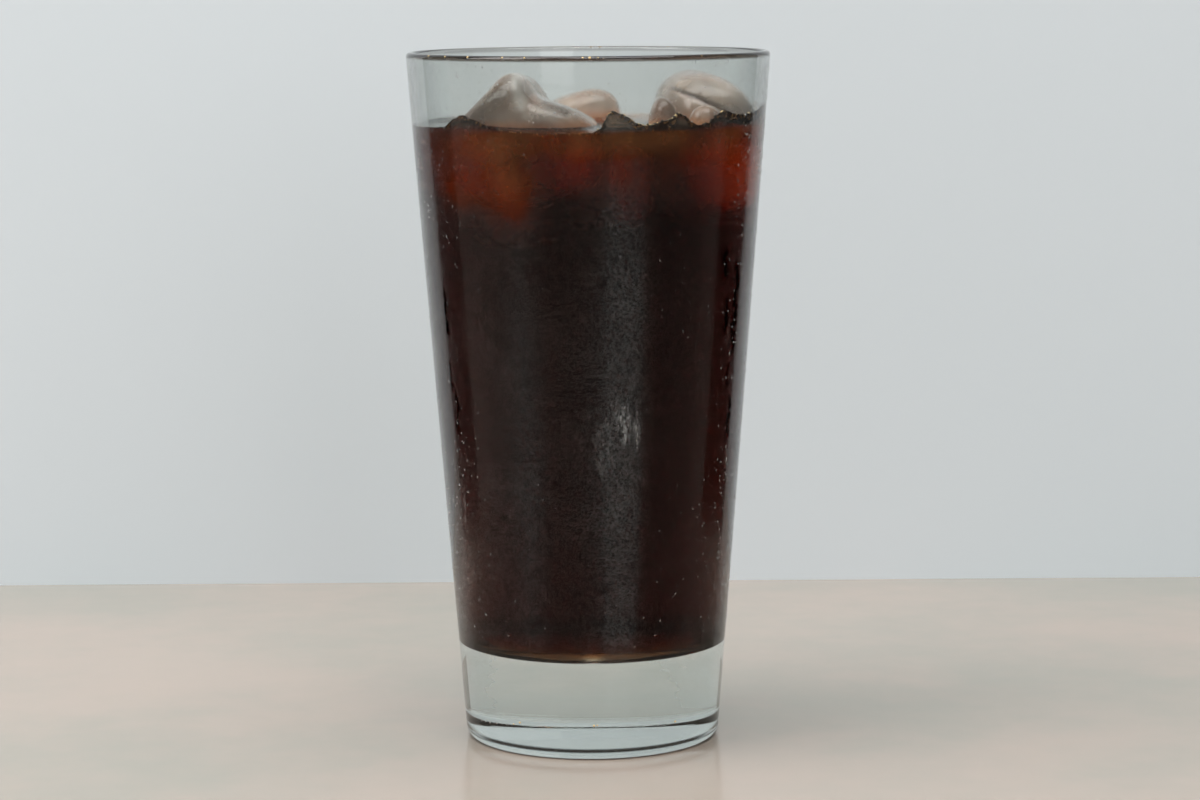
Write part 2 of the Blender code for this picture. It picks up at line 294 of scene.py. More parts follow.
class Look:
    """A material and short ways to add nodes to it."""

    def __init__(self, name):
        self.material = bpy.data.materials.new(name)
        self.material.use_nodes = True
        self.tree = self.material.node_tree
        self.shader = self.tree.nodes["Principled BSDF"]
        self.output = self.tree.nodes["Material Output"]
        self.place = None

    def add(self, kind, **settings):
        node = self.tree.nodes.new(kind)
        for key, value in settings.items():
            setattr(node, key, value)
        return node

    def link(self, source, target):
        self.tree.links.new(source, target)

    def feed(self, socket, value):
        """Links a socket, or sets a plain value."""
        if isinstance(value, bpy.types.NodeSocket):
            self.link(value, socket)
        else:
            socket.default_value = value

    def set(self, **values):
        """Shader inputs by name, with _ for spaces."""
        for key, value in values.items():
            self.feed(self.shader.inputs[key.replace("_", " ")], value)

    def position(self):
        if self.place is None:
            self.place = self.add("ShaderNodeTexCoord").outputs["Object"]
        return self.place

    def attribute(self, name):
        return self.add("ShaderNodeAttribute", attribute_name=name).outputs["Fac"]

    def math(self, operation, a, b=0.0, clamp=False):
        node = self.add("ShaderNodeMath", operation=operation, use_clamp=clamp)
        self.feed(node.inputs[0], a)
        self.feed(node.inputs[1], b)
        return node.outputs[0]

    def remap(self, value, low, high, to_low=0.0, to_high=1.0):
        node = self.add("ShaderNodeMapRange", interpolation_type="SMOOTHSTEP")
        for key, number in (
            ("Value", value), ("From Min", low), ("From Max", high), ("To Min", to_low),
            ("To Max", to_high),
        ):
            self.feed(node.inputs[key], number)
        return node.outputs["Result"]

    def scaled_place(self, stretch):
        node = self.add("ShaderNodeVectorMath", operation="MULTIPLY")
        self.link(self.position(), node.inputs[0])
        node.inputs[1].default_value = stretch
        return node.outputs[0]

    def noise(self, scale, detail=3.0, roughness=0.5, stretch=None):
        node = self.add("ShaderNodeTexNoise")
        self.link(self.scaled_place(stretch) if stretch else self.position(), node.inputs["Vector"])
        node.inputs["Scale"].default_value = scale
        node.inputs["Detail"].default_value = detail
        node.inputs["Roughness"].default_value = roughness
        return node.outputs["Fac"]

    def mix_colour(self, share, first, second):
        node = self.add("ShaderNodeMix", data_type="RGBA")
        self.feed(node.inputs[0], share)
        self.feed(node.inputs[6], first)
        self.feed(node.inputs[7], second)
        return node.outputs[2]

    def bump(self, height, distance, strength=1.0):
        node = self.add("ShaderNodeBump")
        self.feed(node.inputs["Height"], height)
        self.feed(node.inputs["Strength"], strength)
        node.inputs["Distance"].default_value = distance
        self.link(node.outputs["Normal"], self.shader.inputs["Normal"])

    def absorb(self, colour, density):
        node = self.add("ShaderNodeVolumeAbsorption")
        node.inputs["Color"].default_value = (*colour, 1.0)
        node.inputs["Density"].default_value = density
        self.link(node.outputs["Volume"], self.output.inputs["Volume"])


def rgb(red, green, blue):
    return (red, green, blue, 1.0)


# Mesh helpers


def add_piece(name, mesh, look, sharp=None):
    mesh.materials.clear()
    mesh.shade_smooth()
    if sharp is not None:
        mesh.set_sharp_from_angle(angle=math.radians(sharp))
    mesh.materials.append(look.material)
    piece = bpy.data.objects.new(name, mesh)
    bpy.context.scene.collection.objects.link(piece)
    return piece


def mesh_from(name, points, faces):
    mesh = bpy.data.meshes.new(name)
    mesh.from_pydata([tuple(p) for p in points], [], faces)
    mesh.update()
    return mesh


def set_attribute(mesh, name, values, domain="POINT"):
    attribute = mesh.attributes.new(name, "FLOAT", domain)
    attribute.data.foreach_set("value", np.asarray(values, dtype=np.float32))


def points_of(mesh):
    places = np.empty(len(mesh.vertices) * 3)
    mesh.vertices.foreach_get("co", places)
    return places.reshape(-1, 3)


def arc(centre, radius, start, end, steps):
    turns = np.linspace(start, end, steps + 1)
    return [(centre[0] + radius * math.cos(a), centre[1] + radius * math.sin(a)) for a in turns]


def straight(start, end, steps):
    """Points between two ends of a profile, without the ends."""
    shares = np.linspace(0.0, 1.0, steps + 1)[1:-1]
    return [tuple(np.array(start) + (np.array(end) - np.array(start)) * s) for s in shares]


def along(start, end, share):
    return tuple(np.array(start) + (np.array(end) - np.array(start)) * share)


def turned_mesh(name, profile, segments=SEGMENTS):
    """A closed mesh turned about Z from a profile that starts and ends on the axis."""
    turns = np.arange(segments) * 2 * math.pi / segments
    points, faces, rings = [], [], []
    for radius, height in profile:
        first = len(points)
        if radius == 0.0:
            points.append((0.0, 0.0, height))
            rings.append([first] * segments)
        else:
            points += [(radius * math.cos(a), radius * math.sin(a), height) for a in turns]
            rings.append(list(range(first, first + segments)))
    for lower, upper in zip(rings, rings[1:]):
        for i in range(segments):
            j = (i + 1) % segments
            corners = [lower[i], lower[j], upper[j], upper[i]]
            faces.append(list(dict.fromkeys(corners)))
    return mesh_from(name, points, faces)


def floor_corner(steps, shrink=0.0):
    lean = wall_angle(inner_radius)
    height = FLOOR_HEIGHT + FLOOR_FILLET
    centre = (inner_radius(height) - FLOOR_FILLET / math.cos(lean), height)
    return arc(centre, FLOOR_FILLET - shrink, -math.pi / 2, -lean, steps)


# Glass


def glass_profile():
    outer_lean = wall_angle(outer_radius)
    inner_lean = wall_angle(inner_radius)
    shoulder = (PUNT_SHOULDER_RADIUS, PUNT_SHOULDER_HEIGHT)
    ring = (RING_INNER_RADIUS, 0.0)
    underside = [(0.0, PUNT_HEIGHT)] + straight((0.0, PUNT_HEIGHT), shoulder, 6)
    underside += [shoulder] + straight(shoulder, ring, 4) + [ring]
    heel_middle = outer_radius(HEEL_HEIGHT) - HEEL_DEPTH
    heel = [
        (heel_middle + HEEL_DEPTH * math.cos(a), HEEL_HEIGHT + HEEL_HEIGHT * math.sin(a))
        for a in np.linspace(-math.pi / 2, 0.0, 25)
    ]
    lip_radius = WALL_AT_RIM / 2
    lip_height = GLASS_HEIGHT - lip_radius
    lip_centre = ((outer_radius(lip_height) + inner_radius(lip_height)) / 2, lip_height)
    lip = arc(lip_centre, lip_radius, -outer_lean, math.pi - inner_lean, 18)
    inside = list(reversed(floor_corner(14)))
    under_lip = [along(heel[-1], lip[0], 0.997), along(inside[0], lip[-1], 0.997)]
    profile = underside + heel + straight(heel[-1], under_lip[0], 150) + under_lip[:1] + lip
    profile += under_lip[1:] + straight(under_lip[1], inside[0], 70) + inside
    return profile + straight(inside[-1], (0.0, FLOOR_HEIGHT), 8) + [(0.0, FLOOR_HEIGHT)]


# Tints of the glass: clear, painted shade at the sides over the drink, foot, painted shade on the
# lip, thin mist before the drink, the two kinds of painted light under the surface, and painted
# black
CLEAR_TINT = rgb(0.885, 0.905, 0.89)
SIDE_SHADE_TINT = rgb(0.40, 0.42, 0.41)
FOOT_TINT = rgb(0.74, 0.785, 0.78)
LIP_PAINTED_SHADE_TINT = rgb(0.11, 0.08, 0.06)
BROWN_TINT = rgb(0.92, 0.56, 0.46)
AMBER_TINT = rgb(0.92, 0.36, 0.12)
RED_TINT = rgb(0.92, 0.16, 0.04)
PAINTED_DARK_TINT = rgb(0.008, 0.006, 0.005)
GLASS_GREEN = (0.60, 0.78, 0.70)
# How strongly it mirrors what is in front of it: clear, misted, painted black and wetted by the
# drink
CLEAR_MIRROR = rgb(1, 1, 1)
MISTED_MIRROR = rgb(0.22, 0.22, 0.22)
PAINTED_DARK_MIRROR = rgb(0.02, 0.02, 0.02)
WETTED_MIRROR = rgb(0, 0, 0)


def glass_tint(look, veil_and_reflection, glow, redness, black):
    # Painted shade on the glass over the drink, darker towards its sides
    tint = look.mix_colour(look.attribute("shade"), CLEAR_TINT, SIDE_SHADE_TINT)
    tint = look.mix_colour(look.attribute("foot"), tint, FOOT_TINT)
    # Painted shade on the lip, for the dark of the drink seen through it
    tint = look.mix_colour(look.attribute("lip"), tint, LIP_PAINTED_SHADE_TINT)
    thin = look.remap(veil_and_reflection, 0.002, 0.026, 0.85, 0.0)
    brown = look.math("MULTIPLY", look.attribute("below"), thin)
    tint = look.mix_colour(brown, tint, BROWN_TINT)
    # Painted light: amber and red where the ice lets light through the drink
    warm = look.mix_colour(redness, AMBER_TINT, RED_TINT)
    tint = look.mix_colour(look.math("MULTIPLY", glow, 1.6, clamp=True), tint, warm)
    return look.mix_colour(black, tint, PAINTED_DARK_TINT)


def glass_look():
    look = Look("misted_glass")
    mist = look.attribute("mist")
    veil_and_reflection = look.attribute("veil_and_reflection")
    patchy = look.remap(look.noise(60.0, detail=4.0), 0.30, 0.70, 0.75, 1.0)
    grain = look.noise(1800.0, detail=2.0, roughness=0.6)
    cover = look.math("MULTIPLY", mist, patchy)
    rough = look.math("MULTIPLY", cover, look.remap(grain, 0.35, 0.65, 0.10, 0.26))
    beads = look.remap(grain, 0.40, 0.62, 0.30, 2.0)
    veiled = look.math("MULTIPLY", look.math("MULTIPLY", veil_and_reflection, patchy), beads)
    drips = look.noise(1100.0, detail=3.0, roughness=0.75, stretch=(1.0, 1.0, 0.45))
    # Painted highlight on the wet patches
    wet_highlight = look.math("MULTIPLY", look.attribute("wet_highlight"), look.remap(drips, 0.44, 0.58, 0.05, 2.4))
    streaks = look.noise(150.0, detail=2.0, stretch=(1.0, 1.0, 0.35))
    streaks = look.remap(streaks, 0.30, 0.70, 0.70, 1.20)
    amber = look.math("MULTIPLY", look.attribute("amber"), streaks)
    red = look.math("MULTIPLY", look.attribute("red"), streaks)
    glow = look.math("ADD", amber, red)
    redness = look.math("DIVIDE", red, look.math("ADD", glow, 0.001))
    added = look.math("ADD", wet_highlight, look.math("MULTIPLY", glow, GLOW_SHARE))
    white = look.math("ADD", veiled, added)
    ragged = look.remap(look.noise(130.0, detail=2.0), 0.18, 0.30, 0.5, 1.0)
    # Painted shade: a ragged dark line in the heel
    painted_heel_shade = look.math("MULTIPLY", look.attribute("heel_painted_shade"), ragged)
    # Painted shade: the heel line and the wiped tracks, where the drink shows through, go black and
    # mirror almost nothing
    black = look.math("MAXIMUM", painted_heel_shade, look.attribute("wiped"))
    mirror = look.mix_colour(mist, CLEAR_MIRROR, MISTED_MIRROR)
    mirror = look.mix_colour(black, mirror, PAINTED_DARK_MIRROR)
    look.set(
        Base_Color=glass_tint(look, veil_and_reflection, glow, redness, black),
        Roughness=rough,
        IOR=1.5,
        Transmission_Weight=look.math("SUBTRACT", 1.0, white),
        Specular_Tint=look.mix_colour(look.attribute("wetted"), mirror, WETTED_MIRROR),
    )
    look.bump(look.math("MULTIPLY", grain, mist), 0.00002, 0.2)
    look.absorb(GLASS_GREEN, 3.0)
    return look


def mist_share(height):
    """How much mist lies at a height: none on the foot and the lip, less over the drink."""
    start, whole = MIST_COMES_IN
    mist = smoothstep(FLOOR_HEIGHT + start, FLOOR_HEIGHT + whole, height)
    mist *= 1.0 - MIST_THINNER * smoothstep(COFFEE_LEVEL, COFFEE_LEVEL + MIST_THINS, height)
    last, end = MIST_ENDS
    return mist * (1.0 - smoothstep(GLASS_HEIGHT - last, GLASS_HEIGHT - end, height))


def veil_and_reflection_share(turn, height):
    """How much white the condensation and the painted reflection add: bands that run down the glass.
    """
    degrees, shares = zip(*VEIL_AND_REFLECTION_BANDS)
    share = np.interp(np.degrees(turn), degrees, shares)
    low = np.interp(height, *zip(*VEIL_BY_HEIGHT))
    return share * low


def across_mm(turn, height, degrees):
    """Distance round the glass from a direction, in mm."""
    return (turn - math.radians(degrees)) * outer_radius(height) / MM


def wiped_share(turn, height):
    """1 where a drip has wiped the mist away, 0 where it is whole."""
    wiped = np.zeros_like(turn)
    level = height / MM
    for degrees, top, bottom, half_width, wander in WIPED_TRACKS:
        middle = wander * np.sin(level * 0.9 + degrees) + 0.5 * wander * np.sin(level * 2.3)
        ragged = half_width * (0.75 + 0.35 * np.sin(level * 3.1 + degrees))
        away = np.abs(across_mm(turn, height, degrees) - middle)
        inside = 1 - smoothstep(ragged * 0.6, ragged * 1.3, away)
        wiped = np.maximum(
            wiped,
            inside * smoothstep(bottom - 0.8, bottom + 0.8, level)
            * (1 - smoothstep(top - 1.5, top + 0.5, level)),
        )
    return wiped


def wet_painted_highlight(turn, height):
    """Painted highlight: white added by patches of fine drops."""
    white = np.zeros_like(turn)
    for degrees, level, half_width, half_height, share in WET_HIGHLIGHT_PATCHES:
        across = across_mm(turn, height, degrees) / half_width
        up = (height / MM - level) / half_height
        white += share * (1 - smoothstep(0.55, 1.1, np.hypot(across, up)))
    return white


def spots(turn, height, places):
    """Soft patches: how strong they are together at each point."""
    strength = np.zeros_like(turn)
    for degrees, level, half_width, half_height, most in places:
        across = (np.degrees(turn) - degrees) / half_width
        up = (height / MM - level) / half_height
        strength += most * np.exp(-(across ** 2) - up ** 2)
    return strength


def mark_glass(mesh):
    """Says where on the glass its look changes, as shares from 0 to 1."""
    places = points_of(mesh)
    radius = np.hypot(places[:, 0], places[:, 1])
    height = places[:, 2]
    turn = np.arctan2(places[:, 0], -places[:, 1])
    facing = -places[:, 1] / radius.max()
    middle = (outer_radius(height) + inner_radius(np.maximum(height, FLOOR_HEIGHT))) / 2
    outside = radius > middle
    whole = 1.0 - wiped_share(turn, height)
    below = outside * smoothstep(FLOOR_HEIGHT, FLOOR_HEIGHT + DRINK_FADE, height)
    below *= 1 - smoothstep(*GLOW_TOP, height)
    aside = np.interp(np.abs(np.degrees(turn)), *zip(*SIDE_SHADE))
    heel_painted_shade = smoothstep(*HEEL_PAINTED_SHADE[:2], height) * (1 - smoothstep(*HEEL_PAINTED_SHADE[2:], height))
    on_foot = 1 - smoothstep(FLOOR_HEIGHT - FOOT_FADE, FLOOR_HEIGHT, height)
    lip_painted_shade = LIP_BACK + (1 - LIP_BACK) * smoothstep(*LIP_FACING, facing)
    in_drink = (height >= FLOOR_HEIGHT - FLOOR_SLACK) * (height < COFFEE_LEVEL)
    shares = {
        "mist": outside * mist_share(height) * (MIST_IN_TRACKS + (1 - MIST_IN_TRACKS) * whole),
        "veil_and_reflection": outside * veil_and_reflection_share(turn, height) * whole,
        "wet_highlight": outside * wet_painted_highlight(turn, height) * whole,
        # painted shade: black where a wiped track shows the drink
        "wiped": outside * (1.0 - whole) * below,
        # painted light under the surface
        "amber": below * spots(turn, height, AMBER_GLOW),
        "red": below * spots(turn, height, RED_GLOW),
        "below": below,
        # painted shade at the sides over the drink
        "shade": outside * aside * smoothstep(*GLOW_TOP, height),
        "foot": outside * on_foot,
        # painted shade: the dark line in the heel
        "heel_painted_shade": heel_painted_shade * outside * smoothstep(*HEEL_PAINTED_SHADE_FACING, facing),
        # painted shade on the lip
        "lip": (height > GLASS_HEIGHT - LIP_PAINTED_SHADE_DEPTH) * lip_painted_shade,
        "wetted": ~outside * in_drink,
    }
    for name, values in shares.items():
        set_attribute(mesh, name, values)


def make_glass():
    mesh = turned_mesh("tumbler", glass_profile())
    mark_glass(mesh)
    piece = add_piece("tumbler", mesh, glass_look(), sharp=50)
    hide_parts("glass")
    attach(piece, "root")


# Ice


def merged_copy(node):
    """The node's own mesh with its split vertices joined, as quads where it can be."""
    shape = bmesh.new()
    shape.from_mesh(frame["nodes"][node].data)
    bmesh.ops.remove_doubles(shape, verts=shape.verts, dist=1e-6)
    bmesh.ops.join_triangles(
        shape, faces=shape.faces, angle_face_threshold=1.0, angle_shape_threshold=1.0
    )
    return shape


def refined_ice(node, levels=2):
    shape = merged_copy(node)
    mesh = bpy.data.meshes.new(node + "_fine")
    shape.to_mesh(mesh)
    shape.free()
    helper = bpy.data.objects.new(node + "_fine", mesh)
    bpy.context.scene.collection.objects.link(helper)
    smooth = helper.modifiers.new("smooth", "SUBSURF")
    smooth.levels = levels
    smooth.render_levels = levels
    graph = bpy.context.evaluated_depsgraph_get()
    fine = bpy.data.meshes.new_from_object(helper.evaluated_get(graph))
    bpy.data.objects.remove(helper)
    return fine


WET_EDGE_COLOUR = rgb(0.62, 0.27, 0.11)
PAINTED_HIGHLIGHT_COLOUR = rgb(0.80, 0.76, 0.69)
CRACK_AND_SHADE_COLOUR = rgb(0.10, 0.075, 0.06)
WATER_IOR = 1.333


def ice_look(name, ior, clear_colour, stain_colour, cloudiness):
    look = Look(name)
    melt = look.noise(220.0, detail=3.0)
    patches = look.remap(look.noise(130.0, detail=2.0), 0.3, 0.7, 0.7, 1.25)
    stain = look.math("MULTIPLY", look.attribute("stain"), patches, clamp=True)
    cloud = look.remap(look.noise(110.0, detail=3.0), 0.30, 0.70, 0.50, 1.0)
    colour = look.mix_colour(stain, clear_colour, stain_colour)
    colour = look.mix_colour(look.attribute("wet_edge"), colour, WET_EDGE_COLOUR)
    colour = look.mix_colour(look.attribute("painted_highlight"), colour, PAINTED_HIGHLIGHT_COLOUR)
    # Dark cracks and painted shade
    colour = look.mix_colour(look.attribute("dark"), colour, CRACK_AND_SHADE_COLOUR)
    look.set(
        Base_Color=colour,
        Roughness=look.remap(melt, 0.3, 0.7, 0.12, 0.30),
        IOR=ior,
        Transmission_Weight=look.math("SUBTRACT", 1.0, look.math("MULTIPLY", cloud, cloudiness)),
        Coat_Weight=cloudiness,
        Coat_Roughness=0.04,
        Coat_IOR=WATER_IOR,
    )
    look.bump(look.noise(230.0, detail=2.0), 0.0003, 0.3)
    return look


def ice_looks():
    """Ice that stands out of the drink, and ice in it, which light crosses straight."""
    dry = ice_look(
        "melting_ice", ior=1.31, clear_colour=rgb(0.52, 0.45, 0.37),
        stain_colour=rgb(0.30, 0.20, 0.14), cloudiness=0.66,
    )
    sunk = ice_look(
        "sunk_ice", ior=1.0, clear_colour=rgb(0.96, 0.96, 0.95),
        stain_colour=rgb(0.40, 0.12, 0.06), cloudiness=0.0,
    )
    return dry, sunk


def dimple(mesh, depth=0.00025, size=0.006, seed=0.0):
    """Uneven melting: the surface moves in and out a little along its normals."""
    moves = []
    for vertex in mesh.vertices:
        place = vertex.co / size + Vector((seed, seed, seed))
        moves.append(vertex.co + vertex.normal * depth * noise.noise(place))
    for vertex, place in zip(mesh.vertices, moves):
        vertex.co = place


def near_marks(points, marks):
    """How strongly the marks show at each point of a lump's front."""
    strength = np.zeros(len(points))
    flat = points[:, [0, 2]] / MM
    for start, end, half_width, most in marks:
        start, way = np.array(start), np.array(end) - np.array(start)
        share = np.clip((flat - start) @ way / (way @ way), 0.0, 1.0)
        away = np.linalg.norm(flat - start - share[:, None] * way, axis=1)
        strength = np.maximum(strength, most * np.exp(-((away / half_width) ** 2)))
    return strength


def groove(mesh, marks):
    """Presses the dark marks, the cracks and the painted shade, into the lump's front."""
    normals = np.array([tuple(vertex.normal) for vertex in mesh.vertices])
    places = points_of(mesh)
    depth = near_marks(places, marks) * smoothstep(0.1, 0.5, -normals[:, 1]) * GROOVE_DEPTH
    mesh.vertices.foreach_set("co", (places - normals * depth[:, None]).ravel())
    mesh.update()


def waterline(x, y):
    """Height up to which the coffee wets the ice at a place."""
    wall = max(0.0, inner_radius(COFFEE_LEVEL) - math.hypot(x, y))
    rise, fade = WALL_MENISCUS
    climb = rise * math.exp(-wall / fade)
    climb += float(wall_film(math.atan2(x, -y))) * math.exp(-wall / FILM_FADE)
    return COFFEE_LEVEL + ICE_MENISCUS[0] + climb


def refine_waterline(mesh, reach=0.0011):
    """Smaller faces where the ice comes out of the coffee, so that the edge there is clean."""
    shape = bmesh.new()
    shape.from_mesh(mesh)
    near = {v for v in shape.verts if abs(v.co.z - waterline(v.co.x, v.co.y)) < reach}
    edges = [e for e in shape.edges if e.verts[0] in near or e.verts[1] in near]
    bmesh.ops.subdivide_edges(shape, edges=edges, cuts=3, use_grid_fill=True)
    shape.to_mesh(mesh)
    shape.free()


def finish_ice(piece, looks, stain, node=""):
    mesh = piece.data
    mesh.materials.append(looks[1].material)
    for polygon in mesh.polygons:
        x, y, z = polygon.center
        polygon.material_index = int(z < waterline(x, y))
    places = points_of(mesh)
    heights = places[:, 2] - COFFEE_LEVEL
    wet_edge = 1 - smoothstep(*WET_EDGE_HEIGHTS, heights)
    set_attribute(mesh, "stain", np.interp(heights, STAIN_HEIGHTS, stain))
    set_attribute(mesh, "wet_edge", wet_edge * WET_EDGE_SHARE)
    set_attribute(mesh, "painted_highlight", near_marks(places, PAINTED_HIGHLIGHT_MARKS.get(node, ())))
    set_attribute(mesh, "dark", near_marks(places, DARK_CRACK_AND_SHADE_MARKS.get(node, ())))
    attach(piece, "root")


def sunk_lump(name, middle, half, turn, power=3.2, seed=0.0):
    """A rounded block of ice wholly under the surface."""
    shape = bmesh.new()
    bmesh.ops.create_cube(shape, size=2.0)
    bmesh.ops.subdivide_edges(shape, edges=shape.edges, cuts=23, use_grid_fill=True)
    spin = Matrix.Rotation(math.radians(turn), 3, "Z")
    for vertex in shape.verts:
        place = vertex.co
        length = sum(abs(c) ** power for c in place) ** (1.0 / power)
        place = place / length
        wobble = 1.0 + 0.10 * noise.noise(place * 1.3 + Vector((seed, 2 * seed, 3 * seed)))
        vertex.co = spin @ Vector([c * h * wobble * MM for c, h in zip(place, half)])
        vertex.co += Vector(middle) * MM
    mesh = bpy.data.meshes.new(name)
    shape.to_mesh(mesh)
    shape.free()
    return mesh


def make_ice(looks):
    pieces = []
    for number, node in enumerate(ICE_NODES):
        mesh = refined_ice(node, levels=3 if node in DARK_CRACK_AND_SHADE_MARKS else 2)
        dimple(mesh, seed=float(number))
        groove(mesh, DARK_CRACK_AND_SHADE_MARKS.get(node, ()))
        refine_waterline(mesh)
        piece = add_piece(node + "_lump", mesh, looks[0])
        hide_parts(node)
        finish_ice(piece, looks, ICE_STAINS[node], node)
        pieces.append(piece)
    for number, (name, middle, half, turn) in enumerate(SUNK_ICE):
        piece = add_piece(name, sunk_lump(name, middle, half, turn, seed=float(number)), looks[0])
        finish_ice(piece, looks, (0.1, 0.1))
        pieces.append(piece)
    return pieces


# Coffee


def wall_film(turn):
    """Rise of the film at a direction, with a ragged edge where it is high."""
    degrees, rises = zip(*WALL_FILM)
    way = np.degrees(turn)
    rise = np.interp(way, degrees, rises)
    ragged = 0.12 * np.sin(1.1 * way) + 0.09 * np.sin(2.3 * way + 1.0)
    return (rise + ragged * np.clip(rise, 0.0, 1.0)) * MM


def tree_of(piece):
    return BVHTree.FromPolygons(
        [v.co for v in piece.data.vertices], [p.vertices[:] for p in piece.data.polygons]
    )


def coffee_top_height(x, y, wall, trees):
    """Height of the liquid's surface at a point, with what it climbs at the wall and the ice."""
    turn = math.atan2(x, -y)
    rise, fade = WALL_MENISCUS
    height = COFFEE_LEVEL + rise * math.exp(-wall / fade)
    height += wall_film(turn) * math.exp(-wall / FILM_FADE)
    rise, fade = ICE_MENISCUS
    near = min(tree.find_nearest(Vector((x, y, COFFEE_LEVEL)))[3] for tree in trees)
    return height + rise * math.exp(-near / fade)


def coffee_mesh(trees):
    """The body turned up to the level, then a surface of rings in to the middle."""
    grow = INTO_WALL
    body = [(0.0, FLOOR_HEIGHT - grow)]
    body += straight(body[0], floor_corner(14, -grow)[0], 8) + floor_corner(14, -grow)
    top_radius = inner_radius(COFFEE_LEVEL) + grow
    body += straight(body[-1], (top_radius, COFFEE_LEVEL), 50) + [(top_radius, COFFEE_LEVEL)]
    start, count = SURFACE_COARSE
    coarse = np.linspace(start, top_radius, count)[:-1]
    depths = np.concatenate((np.geomspace(*SURFACE_FINE), coarse))
    surface = [(top_radius - d, COFFEE_LEVEL) for d in depths]
    mesh = turned_mesh("coffee_liquid", body + surface + [(0.0, COFFEE_LEVEL)])
    edge = len(mesh.vertices) - 1 - (len(surface) + 1) * SEGMENTS
    for index in range(edge, len(mesh.vertices)):
        place = mesh.vertices[index].co
        wall = top_radius - math.hypot(place.x, place.y)
        place.z = coffee_top_height(place.x, place.y, wall, trees)
        if index < edge + SEGMENTS:
            radius = inner_radius(place.z) + grow
            share = radius / top_radius
            place.x *= share
            place.y *= share
    return mesh


def pocket_cutters(ice):
    collection = bpy.data.collections.new("pockets")
    bpy.context.scene.collection.children.link(collection)
    for piece in ice:
        shape = bmesh.new()
        shape.from_mesh(piece.data)
        for vertex, place in [(v, v.co + v.normal * POCKET_MARGIN) for v in shape.verts]:
            vertex.co = place
        mesh = bpy.data.meshes.new(piece.name + "_pocket")
        shape.to_mesh(mesh)
        shape.free()
        collection.objects.link(bpy.data.objects.new(mesh.name, mesh))
    return collection


FILM_TINT = rgb(0.36, 0.21, 0.11)
CORNER_PAINTED_SHADE = rgb(0.10, 0.05, 0.025)
COFFEE_COLOUR = (0.70, 0.40, 0.033)
COFFEE_DENSITY = 255.0


def coffee_look():
    look = Look("black_coffee_liquid")
    pocket = look.attribute("pocket")
    at_wall = look.attribute("at_wall")
    ripples = look.noise(300.0, detail=2.0)
    tint = look.mix_colour(look.attribute("film"), rgb(1, 1, 1), FILM_TINT)
    look.set(
        # Painted shade in the corner at the floor
        Base_Color=look.mix_colour(look.attribute("corner"), tint, CORNER_PAINTED_SHADE),
        Roughness=0.0,
        IOR=look.math("SUBTRACT", WATER_IOR, look.math("MULTIPLY", pocket, WATER_IOR - 1.0)),
        Transmission_Weight=1.0,
        Specular_Tint=look.mix_colour(at_wall, rgb(1, 1, 1), rgb(0, 0, 0)),
    )
    look.bump(ripples, 0.00005, look.math("MULTIPLY", look.math("SUBTRACT", 1.0, at_wall), 0.15))
    look.absorb(COFFEE_COLOUR, COFFEE_DENSITY)
    return look


def cut_pockets(piece, cutters):
    """Cuts room for the ice and keeps the result as the piece's mesh."""
    cut = piece.modifiers.new("pockets", "BOOLEAN")
    cut.operation = "DIFFERENCE"
    cut.operand_type = "COLLECTION"
    cut.collection = cutters
    cut.solver = "MANIFOLD"
    graph = bpy.context.evaluated_depsgraph_get()
    mesh = bpy.data.meshes.new_from_object(piece.evaluated_get(graph))
    piece.modifiers.clear()
    material = piece.data.materials[0]
    piece.data = mesh
    mesh.materials.clear()
    mesh.materials.append(material)
    mesh.polygons.foreach_set("material_index", [0] * len(mesh.polygons))


def mark_coffee(mesh, pocket_trees):
    """Says where the drink's look changes: at ice and glass, in the painted shade of the floor's
    corner, in the film.
    """
    near = POCKET_MARGIN * POCKET_NEAR
    centres = [p.center for p in mesh.polygons]
    pocket = [min(t.find_nearest(c)[3] for t in pocket_trees) < near for c in centres]
    at_wall = [
        (c.z < COFFEE_LEVEL and math.hypot(c.x, c.y) > inner_radius(c.z) - WALL_NEAR)
        or c.z < FLOOR_HEIGHT + FLOOR_FILLET
        for c in centres
    ]
    places = points_of(mesh)
    heights = places[:, 2]
    radii = np.hypot(places[:, 0], places[:, 1])
    turns = np.degrees(np.arctan2(places[:, 0], -places[:, 1]))
    # Painted shade in the floor's corner, left out where the glint is
    corner = 1 - smoothstep(*CORNER_HEIGHTS, heights - FLOOR_HEIGHT)
    corner *= 1 - smoothstep(*CORNER_DEPTHS[::-1], inner_radius(FLOOR_HEIGHT) - radii)
    corner *= 1 - np.exp(-((turns - GLINT_TURN) / GLINT_WIDTH) ** 2)
    film = smoothstep(*FILM_HEIGHTS, heights - COFFEE_LEVEL)
    film *= radii > inner_radius(COFFEE_LEVEL) - FILM_DEPTH
    set_attribute(mesh, "pocket", pocket, "FACE")
    set_attribute(mesh, "at_wall", np.logical_or(pocket, at_wall), "FACE")
    set_attribute(mesh, "corner", corner)
    set_attribute(mesh, "film", film)


def make_coffee(ice):
    mesh = coffee_mesh([tree_of(lump) for lump in ice])
    piece = add_piece("coffee_liquid", mesh, coffee_look())
    cutters = pocket_cutters(ice)
    cut_pockets(piece, cutters)
    mark_coffee(piece.data, [tree_of(helper) for helper in cutters.objects])
    for helper in list(cutters.objects):
        bpy.data.objects.remove(helper)
    bpy.data.collections.remove(cutters)
    piece.data.shade_smooth()
    piece.data.set_sharp_from_angle(angle=math.radians(35))
    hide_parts("coffee")
    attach(piece, "root")


# Drops of water on the glass


